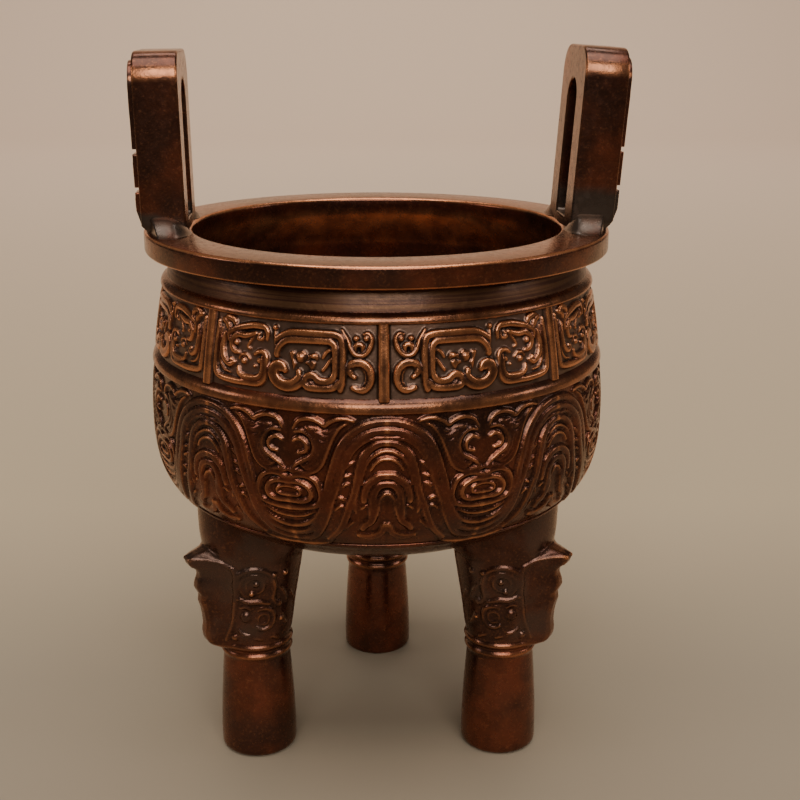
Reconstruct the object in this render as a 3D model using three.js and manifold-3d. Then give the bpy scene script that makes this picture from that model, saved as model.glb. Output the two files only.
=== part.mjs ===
// A small cast ding: a round bowl with a flat rim, on three legs, with two upright ears on the rim.
// Millimetres, +Z up. The origin is on the ground under the bowl's axis, and the front faces -Y.
// The vessel is one piece of metal: bowl, legs, ears and carving are joined into one solid.

import * as THREE from 'three';
import { mergeVertices } from 'three/addons/utils/BufferGeometryUtils.js';
import Module from 'manifold-3d';

const wasm = await Module();
wasm.setup();

// Rim and mouth
const rimTop = 83.3;
const rimThickness = 3.2;
const rimRadius = 35.5;
const rimBevel = 0.5;
const mouthRadius = 28.3;

// Bowl
const bellyRadius = 35.1;
const bellyHeight = 56;
const shoulderRadius = 32.4;
const neckRadius = 31.3;
const bowlBottom = 34.5;
const wall = 2;
const floorThickness = 2.6;
const shoulderFall = 1.53;
const undersideSquareness = 3.2;
const undersideFullness = 2.2;
const overcut = 1;

// Ribs and bands, by the height of their edges
const shoulderRibTop = 76.5;
const shoulderRibFoot = 74.9;
const middleRibTop = 65.1;
const middleRibFoot = 62.9;
const borderTop = 43;
const borderFoot = 42;
const ribRise = 0.6;
const borderRise = 0.3;
const ribSlope = 0.3;

// Carving
const scrollWidth = 1.3;
const frameWidth = 2;
const scrollRise = 0.55;
const ribbonWidth = 1.5;
const ribbonRise = 0.5;
const barWidth = 1.5;
const barRise = 0.65;
const barOverlap = 0.17;
const carvingSink = 0.7;
const eyeRadius = 0.9;
const basinRise = 0.6;
const bandCells = 8;
const dragonBandTurn = 1.1;
const waveBandTurn = 1.7;

// Legs
const legCount = 3;
const legCircle = 22.6;
const footRadius = 6;
const footEdge = 0.8;
const footHeight = 4;
const ankleRadius = 5.3;
const ankleHeight = 16.9;
const ringHeight = 19.9;
const ringRise = 0.4;
const kneeRadius = 6.5;
const kneeHeight = 26;
const hipRadius = 8.4;
const hipHeight = 38.5;
const legTop = 46;
const flangeThickness = 2.6;
const flangeReach = 11.3;
const chinDrop = 1.2;
const maskRise = 0.6;
const maskWidth = 1.4;
const maskHeight = 38.5;

// Ears
const earWidth = 17;
const earThickness = 6.5;
const earHeight = 26.75;
const earCorner = 4;
const slotWidth = 6.4;
const slotFoot = 1.4;
const slotTop = 21.8;
const earLean = { left: 0.9, right: 3.6 };
const earDrop = { left: 0.8, right: 0 };
const earTurn = 2.7;
const earSetback = 0.2;
const earFootReach = 34.8;
const earFlareReach = 38.6;
const earFlareHeight = 3.7;
const earFacing = { left: 180, right: 0 };
const plateRise = 0.8;
const plateInset = 1.3;
const plateGap = 0.7;
const plateLevels = [0.045, 0.258, 0.471];
const moundWidth = 6.8;
const moundLength = 5;
const moundHeight = 2.8;
const moundSink = 0.45;

// Fineness of the round shapes
const bowlSegments = 32;
const legSegments = 12;
const earSegments = 3;
const moundSegments = 8;
const bossSegments = 8;
const undersideSteps = [0.18, 0.59, 0.88];
const waveSteps = [0.25, 0.6];
const insideSteps = [0.02, 0.1, 0.26, 0.5, 0.75, 1];

const degrees = THREE.MathUtils.degToRad;

// Solids

function solidOf(geometry) {
  const bare = geometry.clone();
  bare.deleteAttribute('normal');
  bare.deleteAttribute('uv');
  const merged = mergeVertices(bare, 1e-4);
  const index = merged.index.array;
  const kept = [];
  for (let i = 0; i < index.length; i += 3) {
    const [a, b, c] = index.slice(i, i + 3);
    if (a !== b && b !== c && c !== a) kept.push(a, b, c);
  }
  return new wasm.Manifold(new wasm.Mesh({
    numProp: 3,
    vertProperties: new Float32Array(merged.attributes.position.array),
    triVerts: new Uint32Array(kept),
  }));
}

function geometryOf(solid) {
  const mesh = solid.getMesh();
  const geometry = new THREE.BufferGeometry();
  geometry.setAttribute('position', new THREE.BufferAttribute(mesh.vertProperties, 3));
  geometry.setIndex(new THREE.BufferAttribute(mesh.triVerts, 1));
  geometry.computeVertexNormals();
  return geometry;
}

// A profile is a list of [radius, height], upwards on the outside; it starts and ends on the axis.
function turned(profile, segments) {
  const points = profile.map(([radius, height]) => new THREE.Vector2(radius, height));
  const geometry = new THREE.LatheGeometry(points, segments);
  geometry.rotateX(Math.PI / 2);
  return geometry;
}

function bent(geometry, move) {
  const position = geometry.attributes.position;
  const point = new THREE.Vector3();
  for (let i = 0; i < position.count; i += 1) {
    point.fromBufferAttribute(position, i);
    position.setXYZ(i, ...move(point).toArray());
  }
  return geometry;
}

// The bowl's plain surface, which the ribs and the carving stand on

function bowlRadius(height) {
  if (height > bellyHeight) {
    const climb = (height - bellyHeight) / (shoulderRibTop - bellyHeight);
    return bellyRadius - (bellyRadius - shoulderRadius) * climb ** shoulderFall;
  }
  const fall = Math.min(1, (bellyHeight - height) / (bellyHeight - bowlBottom));
  return bellyRadius * (1 - fall ** undersideSquareness) ** (1 / undersideFullness);
}

function legRadius(height) {
  const joints = [
    [0, footRadius],
    [ankleHeight, ankleRadius],
    [kneeHeight, kneeRadius],
    [hipHeight, hipRadius],
    [legTop, hipRadius],
  ];
  const above = Math.max(1, joints.findIndex(([level]) => level >= height));
  const [lowLevel, lowRadius] = joints[above - 1];
  const [highLevel, highRadius] = joints[above];
  return THREE.MathUtils.mapLinear(height, lowLevel, highLevel, lowRadius, highRadius);
}

// A point on a round surface: a bearing in degrees from the front, a height, and how far it stands out.
function onSurface(radiusAt, bearing, height, out) {
  const step = 0.1;
  const slope = (radiusAt(height + step) - radiusAt(height - step)) / (2 * step);
  const normal = new THREE.Vector2(1, -slope).normalize();
  const radius = radiusAt(height) + out * normal.x;
  const angle = degrees(bearing);
  return new THREE.Vector3(radius * Math.sin(angle), -radius * Math.cos(angle), height + out * normal.y);
}

// A raised stroke that follows a drawn path of [bearing, height] points on a round surface
function ridge(radiusAt, drawn, { steps, width, rise }) {
  const middle = drawn[Math.floor(drawn.length / 2)][1];
  const perDegree = degrees(radiusAt(middle));
  const laidOut = drawn.map(([bearing, height]) => new THREE.Vector2(bearing * perDegree, height));
  const path = new THREE.SplineCurve(laidOut);
  const section = new THREE.Shape([
    new THREE.Vector2(-width / 2, -carvingSink),
    new THREE.Vector2(width / 2, -carvingSink),
    new THREE.Vector2(0, rise),
  ]);
  const bar = new THREE.ExtrudeGeometry(section, { depth: 1, steps, bevelEnabled: false });
  return bent(bar, ({ x: across, y: out, z: along }) => {
    const point = path.getPointAt(along);
    const tangent = path.getTangentAt(along);
    const bearing = (point.x - tangent.y * across) / perDegree;
    return onSurface(radiusAt, bearing, point.y + tangent.x * across, out);
  });
}

function bead(radiusAt, [bearing, height], radius) {
  const ball = new THREE.OctahedronGeometry(radius);
  const centre = onSurface(radiusAt, bearing, height, 0);
  return ball.translate(centre.x, centre.y, centre.z);
}

// Bowl

function bowlOutside() {
  const ground = (height, out = 0) => [bowlRadius(height) + out, height];
  const between = (low, high, shares) => shares.map((share) => ground(low + (high - low) * share));
  const rib = (foot, top, rise) => [
    ground(foot),
    ground(foot + ribSlope, rise),
    ground(top - ribSlope, rise),
    ground(top),
  ];
  return turned([
    [0, bowlBottom],
    ...between(bowlBottom, borderFoot, undersideSteps),
    ...rib(borderFoot, borderTop, borderRise),
    ...between(borderTop, middleRibFoot, waveSteps),
    ...rib(middleRibFoot, middleRibTop, ribRise),
    ...rib(shoulderRibFoot, shoulderRibTop, ribRise),
    [neckRadius, rimTop - rimThickness],
    [rimRadius - rimBevel / 2, rimTop - rimThickness],
    [rimRadius, rimTop - rimThickness + rimBevel],
    [rimRadius, rimTop - rimBevel],
    [rimRadius - rimBevel, rimTop],
    [0, rimTop],
  ], bowlSegments);
}

function bowlInside() {
  const floor = bowlBottom + floorThickness;
  const depth = shoulderRibTop - floor;
  const inner = (share) => {
    const height = floor + share * depth;
    return [bowlRadius(height - floorThickness * (1 - share)) - wall, height];
  };
  return turned([
    [0, floor],
    ...insideSteps.map(inner),
    [mouthRadius, rimTop - rimThickness],
    [mouthRadius, rimTop - rimBevel],
    [mouthRadius + rimBevel + overcut, rimTop + overcut],
    [0, rimTop + overcut],
  ], bowlSegments);
}

// Carving on the bowl. Paths are drawn over one cell, from its bar or crest at bearing 0, with heights
// measured from the foot of a band as high as it was drawn, and are stretched to the band.

const dragonBand = {
  foot: middleRibTop,
  top: shoulderRibFoot,
  drawn: 9.8,
  turn: dragonBandTurn,
  stroke: { width: scrollWidth, rise: scrollRise },
};
const waveBand = {
  foot: borderTop,
  top: middleRibFoot,
  drawn: 19.9,
  turn: waveBandTurn,
  stroke: { width: ribbonWidth, rise: ribbonRise },
};

const dragonStrokes = [
  // the near dragon: its back, as a broad frame
  { steps: 7, width: frameWidth, path: [[9.9, 1.2], [9.6, 4], [10, 7.1], [16, 8.1], [22, 8], [25, 5.6]] },
  // its tail
  { steps: 3, path: [[11, 2.2], [13.4, 1.6], [17.6, 1.7], [16.6, 3]] },
  // its jaw
  { steps: 4, path: [[18.8, 2.7], [21.6, 1.3], [25.8, 2.2], [24.9, 4.1], [23.7, 3.6]] },
  // the far dragon, which faces it
  { steps: 6, path: [[30.6, 4.8], [28, 3.4], [30, 1.4], [36, 1.2], [42, 1.6], [43, 5], [42.6, 8.6]] },
];
// The near dragon's eye, and the owl mask and scroll beside the bar
const dragonBeads = [[19.3, 5.4], [5.2, 7.2], [5.2, 3.2]];

// The wave and the arch run across the crest, so they are drawn on both sides of it.
const crestStrokes = [
  {
    steps: 8,
    path: [
      [-23, 1.1], [-14.5, 3.2], [-11.8, 10], [-8, 17], [0, 19], [8, 17], [11.8, 10], [14.5, 3.2], [23.4, 1],
    ],
  },
  { steps: 5, path: [[-4.2, 4], [-3.6, 9], [0, 12.6], [3.6, 9], [4.2, 4]] },
];
// A scroll that hangs in the trough between two crests, drawn for one half of it
const troughStrokes = [
  { steps: 5, path: [[9.6, 19], [14, 13], [19.4, 12.4], [17.4, 17.2], [21, 17.2]] },
];
// The basin below the two scrolls, as wide and as high as drawn
const basin = { middle: [22.5, 7], halfWidth: 7.2, halfHeight: 3.9, rise: basinRise };

// Puts drawn points on a band. A cell is mirrored on its bar when side is -1.
function onBand(band, centre, side = 1) {
  const stretch = (band.top - band.foot) / band.drawn;
  return ([bearing, height]) => [band.turn + centre + side * bearing, band.foot + height * stretch];
}

function carved(band, { path, ...shape }, centre, side) {
  return ridge(bowlRadius, path.map(onBand(band, centre, side)), { ...band.stroke, ...shape });
}

// A low oval boss
function boss(band, { middle: [bearing, height], halfWidth, halfHeight, rise }, centre) {
  const dome = new THREE.SphereGeometry(1, bossSegments, bossSegments / 2);
  return bent(dome, ({ x, y, z }) => {
    const place = onBand(band, centre)([bearing + x * halfWidth, height + y * halfHeight]);
    return onSurface(bowlRadius, ...place, z * rise);
  });
}

function bowlCarving() {
  const cell = 360 / bandCells;
  const pieces = [];
  for (let number = 0; number < bandCells; number += 1) {
    const centre = number * cell;
    const side = number % 2 === 0 ? 1 : -1;
    const start = side > 0 ? centre : centre + cell;
    const barAt = dragonBandTurn + centre;
    const bar = [[barAt, middleRibTop - barOverlap], [barAt, shoulderRibFoot + barOverlap]];
    pieces.push(ridge(bowlRadius, bar, { steps: 1, width: barWidth, rise: barRise }));
    pieces.push(...dragonStrokes.map((stroke) => carved(dragonBand, stroke, start, side)));
    const beads = dragonBeads.map(onBand(dragonBand, start, side));
    pieces.push(...beads.map((place) => bead(bowlRadius, place, eyeRadius)));
    pieces.push(...crestStrokes.map((stroke) => carved(waveBand, stroke, centre, 1)));
    pieces.push(...troughStrokes.map((stroke) => carved(waveBand, stroke, centre, 1)));
    pieces.push(...troughStrokes.map((stroke) => carved(waveBand, stroke, centre + cell, -1)));
    pieces.push(boss(waveBand, basin, centre));
  }
  return pieces;
}

// Legs. Each is built on its own axis with the flange at bearing 0, then moved out to its place.

function legShaft() {
  const ringStep = (ringHeight - ankleHeight) / 4;
  const ring = [0, 1, 0, 1, 0].map((proud, i) => {
    const height = ankleHeight + i * ringStep;
    return [legRadius(height) + proud * ringRise, height];
  });
  return turned([
    [0, 0],
    [footRadius - footEdge, 0],
    [footRadius, footEdge],
    [footRadius, footHeight],
    ...ring,
    [kneeRadius, kneeHeight],
    [legRadius((kneeHeight + hipHeight) / 2), (kneeHeight + hipHeight) / 2],
    [hipRadius, hipHeight],
    [hipRadius, legTop],
    [0, legTop],
  ], legSegments);
}

// The flange is a beast's face in profile: brow spike, bridge, muzzle and chin.
function legFlange() {
  const chin = ringHeight - chinDrop;
  const root = ankleRadius / 2;
  const reach = (share) => hipRadius + (flangeReach - hipRadius) * share;
  const level = (share) => THREE.MathUtils.lerp(chin, hipHeight, share);
  const outline = [
    [root, level(0)], [reach(-0.76), level(0)], [reach(0.02), level(0.07)],
    [reach(0.19), level(0.15)], [reach(0.12), level(0.23)], [reach(0.38), level(0.42)],
    [reach(0.31), level(0.48)], [reach(0.57), level(0.55)], [reach(0.38), level(0.67)],
    [reach(1), level(0.79)], [reach(0.14), level(0.88)], [reach(-0.1), level(0.9)], [root, level(0.9)],
  ];
  const shape = new THREE.Shape(outline.map(([out, height]) => new THREE.Vector2(out, height)));
  const plate = new THREE.ExtrudeGeometry(shape, { depth: flangeThickness, bevelEnabled: false });
  plate.translate(0, 0, -flangeThickness / 2);
  plate.rotateX(Math.PI / 2);
  return plate.rotateZ(-Math.PI / 2);
}

// The mask on one cheek, brow and coiled horn, and its eye, with bearings from the flange
const maskStrokes = [
  { steps: 4, path: [[12, 34.6], [32, 34], [40, 29.5], [26, 22.6]] },
  { steps: 5, path: [[68, 28.4], [49, 28.6], [51, 32.4], [70, 32.6], [86, 31.6]] },
];
const maskEye = [52, 24.7];

function leg() {
  const stroke = { width: maskWidth, rise: maskRise };
  const onCheek = (side) => ([bearing, height]) => [side * bearing, height * hipHeight / maskHeight];
  const pieces = [legShaft(), legFlange()];
  for (const side of [-1, 1]) {
    for (const { steps, path } of maskStrokes) {
      pieces.push(ridge(legRadius, path.map(onCheek(side)), { steps, ...stroke }));
    }
    pieces.push(bead(legRadius, onCheek(side)(maskEye), eyeRadius));
  }
  return pieces;
}

// Ears. Each is built with its inner face on the YZ plane, its outer face towards +X and its root at z = 0.

function earSlab(height) {
  const half = earWidth / 2;
  const root = -rimThickness / 2;
  const shape = new THREE.Shape();
  shape.moveTo(-half, root);
  shape.lineTo(half, root);
  shape.lineTo(half, height - earCorner);
  shape.absarc(half - earCorner, height - earCorner, earCorner, 0, Math.PI / 2);
  shape.absarc(-half + earCorner, height - earCorner, earCorner, Math.PI / 2, Math.PI);
  shape.lineTo(-half, root);
  const slot = new THREE.Path();
  const slotHalf = slotWidth / 2;
  slot.moveTo(-slotHalf, slotFoot);
  slot.lineTo(slotHalf, slotFoot);
  slot.lineTo(slotHalf, slotTop - slotHalf);
  slot.absarc(0, slotTop - slotHalf, slotHalf, 0, Math.PI);
  slot.lineTo(-slotHalf, slotFoot);
  shape.holes.push(slot);
  return uprightPlate(shape, earThickness, 0);
}

// A shape drawn across and up, stood in the YZ plane, from x = start outwards
function uprightPlate(shape, thickness, start) {
  const options = { depth: thickness, bevelEnabled: false, curveSegments: earSegments };
  const plate = new THREE.ExtrudeGeometry(shape, options);
  plate.rotateX(Math.PI / 2);
  plate.rotateZ(Math.PI / 2);
  return plate.translate(start, 0, 0);
}

// The raised carving on the outer face: an arch over the slot, and two blocks down each arm
function earPlates(height) {
  const outer = earWidth / 2 - plateInset;
  const inner = slotWidth / 2 + plateInset / 2;
  const crown = height - plateInset;
  const corner = earCorner - plateInset / 2;
  const levels = plateLevels.map((share) => share * height);
  const sunk = earThickness - carvingSink;
  const arch = new THREE.Shape();
  arch.moveTo(outer, levels[2]);
  arch.lineTo(outer, crown - corner);
  arch.absarc(outer - corner, crown - corner, corner, 0, Math.PI / 2);
  arch.absarc(-outer + corner, crown - corner, corner, Math.PI / 2, Math.PI);
  arch.lineTo(-outer, levels[2]);
  arch.lineTo(-inner, levels[2]);
  arch.lineTo(-inner, slotTop - inner);
  arch.absarc(0, slotTop - inner, inner, Math.PI, 0, true);
  arch.lineTo(inner, levels[2]);
  const plates = [uprightPlate(arch, plateRise + carvingSink, sunk)];
  for (const side of [-1, 1]) {
    const near = side * inner;
    const far = side * outer;
    for (const [foot, top, foldedFoot] of [[levels[1], levels[2], false], [levels[0], levels[1], true]]) {
      const block = new THREE.Shape([
        new THREE.Vector2(Math.min(near, far), foot),
        new THREE.Vector2(Math.max(near, far), foot),
        new THREE.Vector2(Math.max(near, far), top - plateGap),
        new THREE.Vector2(Math.min(near, far), top - plateGap),
      ]);
      const plate = uprightPlate(block, plateRise + carvingSink, sunk);
      plates.push(foldedFoot ? foldedIn(plate, foot, sunk) : plate);
    }
  }
  return plates;
}

// The lowest block slants back to the ear at its foot.
function foldedIn(plate, foot, face) {
  const nearly = 0.01;
  return bent(plate, (point) => {
    if (point.z < foot + nearly && point.x > face + nearly) point.setX(face + carvingSink / 2);
    return point;
  });
}

// The mound of filler metal at the root of an ear, in front of it or behind it
function rootMound(side) {
  const mound = new THREE.SphereGeometry(1, moundSegments, moundSegments / 2);
  mound.scale(moundWidth / 2, moundLength, moundHeight);
  return mound.translate(earThickness / 2, side * earWidth / 2, -moundSink);
}

// The ears keep to this round space: at their roots the outer side slants in to the rim's flat top.
function earSpace() {
  const root = rimTop - rimThickness;
  const above = rimTop + earHeight + overcut;
  return turned([
    [0, root],
    [earFootReach, root],
    [earFootReach, rimTop],
    [earFlareReach, rimTop + earFlareHeight],
    [earFlareReach, above],
    [0, above],
  ], bowlSegments);
}

function ear(name) {
  const height = earHeight - earDrop[name];
  const pieces = [earSlab(height), ...earPlates(height)];
  for (const piece of pieces) piece.rotateY(degrees(earLean[name]));
  pieces.push(rootMound(-1), rootMound(1));
  for (const piece of pieces) {
    piece.translate(mouthRadius + earSetback, 0, rimTop);
    piece.rotateZ(degrees(earFacing[name] + earTurn));
  }
  return pieces;
}

// The whole vessel

function vesselSolid() {
  const pieces = [bowlOutside(), ...bowlCarving()];
  for (let number = 0; number < legCount; number += 1) {
    for (const piece of leg()) {
      piece.translate(0, -legCircle, 0);
      pieces.push(piece.rotateZ(degrees(180 + number * 360 / legCount)));
    }
  }
  const bowl = wasm.Manifold.union(pieces.map(solidOf)).subtract(solidOf(bowlInside()));
  const pair = wasm.Manifold.union([...ear('left'), ...ear('right')].map(solidOf));
  return bowl.add(pair.intersect(solidOf(earSpace())));
}

const vessel = new THREE.Mesh(
  geometryOf(vesselSolid()),
  new THREE.MeshStandardMaterial({ color: 0x4a2114, roughness: 0.38, metalness: 0.9 }),
);
vessel.name = 'ding_vessel';

const model = new THREE.Group();
model.add(vessel);

export default model;
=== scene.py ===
# %% [markdown]
# # A small cast ding
# A ding is an ancient cooking vessel on three legs, with two ears on its rim. This one is a desk copy, 11
# cm high, in patinated copper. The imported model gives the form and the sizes. This script adds the fine
# relief, the worn edges, the patina, the table and the light, and looks at it all with the camera that took
# the photo.
# Lengths are worked out in millimetres, which are easy to read, and brought to metres at the end.

# %% Open the shared frame
import math

import bmesh
import bpy
import numpy as np
from mathutils import Matrix, Vector


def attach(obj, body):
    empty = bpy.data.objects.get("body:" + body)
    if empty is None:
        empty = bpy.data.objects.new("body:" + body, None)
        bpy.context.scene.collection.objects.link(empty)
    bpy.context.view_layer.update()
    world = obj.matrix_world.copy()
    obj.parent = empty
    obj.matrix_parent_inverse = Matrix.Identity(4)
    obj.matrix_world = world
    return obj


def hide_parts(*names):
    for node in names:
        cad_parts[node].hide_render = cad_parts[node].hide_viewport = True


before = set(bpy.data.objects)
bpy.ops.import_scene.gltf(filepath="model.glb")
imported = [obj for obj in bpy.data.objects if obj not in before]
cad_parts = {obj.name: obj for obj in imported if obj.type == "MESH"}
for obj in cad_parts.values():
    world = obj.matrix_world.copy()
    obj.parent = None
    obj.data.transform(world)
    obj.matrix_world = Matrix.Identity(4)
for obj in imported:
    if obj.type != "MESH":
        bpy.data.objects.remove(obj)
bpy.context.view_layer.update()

MM = 0.001

# %% [markdown]
# ## The bowl's plain surface
# Ribs, scrolls and waves all stand on one smooth surface of revolution. Above the belly it draws in slowly
# to the shoulder. Below the belly it is a squarish curve that rounds in to the bottom. One function gives
# its radius at any height, and every later piece asks that function where the surface is.

# %% Ground surface
BELLY_RADIUS, BELLY_HEIGHT = 35.1, 56.0
SHOULDER_RADIUS, SHOULDER_TOP = 32.4, 76.5
BOTTOM = 34.5
SHOULDER_BEND = 1.53
SQUARE_DOWN, SQUARE_OUT = 3.2, 2.2


def ground(height):
    """The bowl's plain radius at a height, in millimetres."""
    height = np.asarray(height, float)
    climb = np.clip((height - BELLY_HEIGHT) / (SHOULDER_TOP - BELLY_HEIGHT), 0, None)
    fall = np.clip((BELLY_HEIGHT - height) / (BELLY_HEIGHT - BOTTOM), 0, 1)
    upper = BELLY_RADIUS - (BELLY_RADIUS - SHOULDER_RADIUS) * climb**SHOULDER_BEND
    lower = BELLY_RADIUS * (1 - fall**SQUARE_DOWN) ** (1 / SQUARE_OUT)
    return np.where(height > BELLY_HEIGHT, upper, lower)


def ground_height(radius):
    """The height at which the underside has a radius: the same curve, read the other way."""
    share = np.clip(np.asarray(radius, float) / BELLY_RADIUS, 0, 1)
    fall = (1 - share**SQUARE_OUT) ** (1 / SQUARE_DOWN)
    return BELLY_HEIGHT - fall * (BELLY_HEIGHT - BOTTOM)


print("belly and shoulder radius:", [round(float(ground(z)), 2) for z in (BELLY_HEIGHT, SHOULDER_TOP)])

# %% [markdown]
# ## Turning a profile
# A lathe shape is a profile spun round the Z axis. The spin leaves the last column on top of the first and
# copies of the points that lie on the axis, so both are merged away, and the normals are made to point out.

# %% Lathe tools
def open_edges(bm):
    """How many edges don't have exactly two faces. A closed shell has none."""
    return sum(1 for edge in bm.edges if len(edge.link_faces) != 2)


def face_outwards(bm):
    bmesh.ops.recalc_face_normals(bm, faces=bm.faces[:])


def turned(profile, steps, sectors, ring=False):
    """A profile of (radius, height) points spun round Z. A ring's profile is closed on itself.

    One sector is spun step by step and then copied round, which is far quicker than one long spin.
    """
    bm = bmesh.new()
    verts = [bm.verts.new((radius * MM, 0, height * MM)) for radius, height in profile]
    pairs = list(zip(verts, verts[1:])) + ([(verts[-1], verts[0])] if ring else [])
    edges = [bm.edges.new(pair) for pair in pairs]
    sector = math.tau / sectors
    turn = {"cent": (0, 0, 0), "axis": (0, 0, 1)}
    bmesh.ops.spin(bm, geom=verts + edges, angle=sector, steps=steps // sectors, **turn)
    whole = bm.verts[:] + bm.edges[:] + bm.faces[:]
    bmesh.ops.spin(bm, geom=whole, angle=math.tau - sector, steps=sectors - 1, use_duplicate=True, **turn)
    bmesh.ops.remove_doubles(bm, verts=bm.verts[:], dist=2e-6)
    face_outwards(bm)
    return bm


def finished(bm, name, crease=None):
    """Turns a bmesh into a smooth-shaded object, and reports its faces and any open edges."""
    mesh = bpy.data.meshes.new(name)
    print(f"{name}: {len(bm.faces)} faces, {open_edges(bm)} open edges")
    bm.to_mesh(mesh)
    bm.free()
    mesh.shade_smooth()
    if crease:
        mesh.set_sharp_from_angle(angle=math.radians(crease))
    made = bpy.data.objects.new(name, mesh)
    bpy.context.scene.collection.objects.link(made)
    return made


def vectors_of(mesh, field):
    flat = np.empty(len(mesh.vertices) * 3, np.float32)
    mesh.vertices.foreach_get(field, flat)
    return flat.reshape(-1, 3)


def points_of(mesh):
    """The vertices as an array, in millimetres."""
    return vectors_of(mesh, "co").astype(float) / MM


def move_points(mesh, points):
    mesh.vertices.foreach_set("co", (points * MM).astype(np.float32).ravel())
    mesh.update()


def swung(out, side, degrees):
    """Points given as outwards and sideways, turned about Z to a direction counted from +X."""
    turn = math.radians(degrees)
    return out * math.cos(turn) - side * math.sin(turn), out * math.sin(turn) + side * math.cos(turn)


def mark(mesh, name, values):
    """Keeps one number a vertex, which a material can read by name."""
    layer = mesh.attributes.new(name, "FLOAT", "POINT")
    layer.data.foreach_set("value", np.asarray(values, np.float32))


# %% [markdown]
# ## The bowl
# The profile runs up the outside, over the flat rim and down the inside. Each rib is a rounded bar, and the
# two broad ones are fullest below their middle. Where a carved band will lie, the profile steps in, and a
# fine ring fills the place later. Polishing has rounded all sharp edges a little, so the rim's corners are
# small arcs.

# %% Bowl profile
RIM_TOP, RIM_UNDER, RIM_RADIUS, MOUTH_RADIUS = 83.3, 80.1, 35.5, 28.3
NECK_RADIUS = 31.3
WALL, FLOOR_THICKNESS = 2.0, 2.6
BORDER = (42.0, 43.0)
MIDDLE_RIB = (62.9, 65.1)
SHOULDER_RIB = (74.9, SHOULDER_TOP)
BORDER_RISE, MIDDLE_RISE, SHOULDER_RISE = 0.3, 0.65, 0.75
NECK_CORNER, UNDER_CORNER, TOP_CORNER, MOUTH_CORNER = 0.5, 0.45, 0.5, 0.6
RECESS = 0.9


def arc(centre, radius, start, end, count=6):
    """Points of a circular corner, by angles in degrees."""
    angles = np.radians(np.linspace(start, end, count))
    return [(centre[0] + radius * math.cos(a), centre[1] + radius * math.sin(a)) for a in angles]


def rib(span, rise, peak=0.5, count=17):
    """A rounded bar between two heights. Its highest line lies at a share of the way up."""
    share = np.linspace(0, 1, count)
    heights = span[0] + share * (span[1] - span[0])
    fall = np.where(share < peak, (peak - share) / peak, (share - peak) / (1 - peak))
    return list(zip(ground(heights) + rise * (1 - fall**2.6), heights))


def recessed(low, high, count=6):
    heights = np.linspace(low, high, count)
    return list(zip(ground(heights) - RECESS, heights))


underside_radii = np.linspace(0, float(ground(BORDER[0])), 44)
neck_heights = np.linspace(SHOULDER_TOP, RIM_UNDER, 14)[1:-1]
neck_share = (RIM_UNDER - neck_heights) / (RIM_UNDER - SHOULDER_TOP)
neck = list(zip(NECK_RADIUS + (SHOULDER_RADIUS - NECK_RADIUS) * neck_share**0.8, neck_heights))
inside_share = np.linspace(1, 0, 60) ** 2
inside_heights = BOTTOM + FLOOR_THICKNESS + inside_share * (SHOULDER_TOP - BOTTOM - FLOOR_THICKNESS)
inside_radii = np.maximum(0, ground(inside_heights - FLOOR_THICKNESS * (1 - inside_share)) - WALL)
last = int(np.argmax(inside_radii <= 0))
bowl_profile = (
    list(zip(underside_radii, ground_height(underside_radii)))[:-1]
    + rib(BORDER, BORDER_RISE)
    + recessed(BORDER[1], MIDDLE_RIB[0], 24)
    + rib(MIDDLE_RIB, MIDDLE_RISE, peak=0.36)
    + recessed(MIDDLE_RIB[1], SHOULDER_RIB[0], 8)
    + rib(SHOULDER_RIB, SHOULDER_RISE, peak=0.3)
    + neck
    + arc((NECK_RADIUS + NECK_CORNER, RIM_UNDER - NECK_CORNER), NECK_CORNER, 180, 90)
    + arc((RIM_RADIUS - UNDER_CORNER, RIM_UNDER + UNDER_CORNER), UNDER_CORNER, -90, 0)
    + arc((RIM_RADIUS - TOP_CORNER, RIM_TOP - TOP_CORNER), TOP_CORNER, 0, 90)
    + arc((MOUTH_RADIUS + MOUTH_CORNER, RIM_TOP - MOUTH_CORNER), MOUTH_CORNER, 90, 180)
    + [(MOUTH_RADIUS, RIM_UNDER)]
    + list(zip(inside_radii, inside_heights))[:last]
    + [(0, inside_heights[last])]
)
bowl = finished(turned(bowl_profile, 288, 18), "bowl", crease=32)
pieces = [bowl]

# %% [markdown]
# ## Drawing relief
# The carving is drawn on a sheet: a fine grid of heights over one cell of the pattern. A stroke is a smooth
# line through a few points. It raises a rounded ridge along its way, thinner at its ends, as a graver or a
# wax tool leaves it. The sheet is then read at every vertex of a fine ring, mirrored from cell to cell.

# %% The sheet
PITCH = 0.07
SURROUNDINGS = 0.5


def smooth_path(points, step=0.25):
    """A Catmull-Rom curve through the points, cut into short steps."""
    points = np.asarray(points, float)
    ends = np.vstack([2 * points[0] - points[1], points, 2 * points[-1] - points[-2]])
    out = [points[:1]]
    for before, start, end, after in zip(ends, ends[1:], ends[2:], ends[3:]):
        count = max(2, int(np.ceil(np.linalg.norm(end - start) / step)))
        t = (np.arange(1, count + 1) / count)[:, None]
        out.append(0.5 * (
            2 * start + (end - before) * t
            + (2 * before - 5 * start + 4 * end - after) * t**2
            + (3 * start - before - 3 * end + after) * t**3
        ))
    return np.vstack(out)


def off_line(x, y, start, end):
    """How far points lie from a short straight line."""
    way = end - start
    along = np.clip(((x - start[0]) * way[0] + (y - start[1]) * way[1]) / (way @ way + 1e-9), 0, 1)
    return np.hypot(x - start[0] - along * way[0], y - start[1] - along * way[1])


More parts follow.
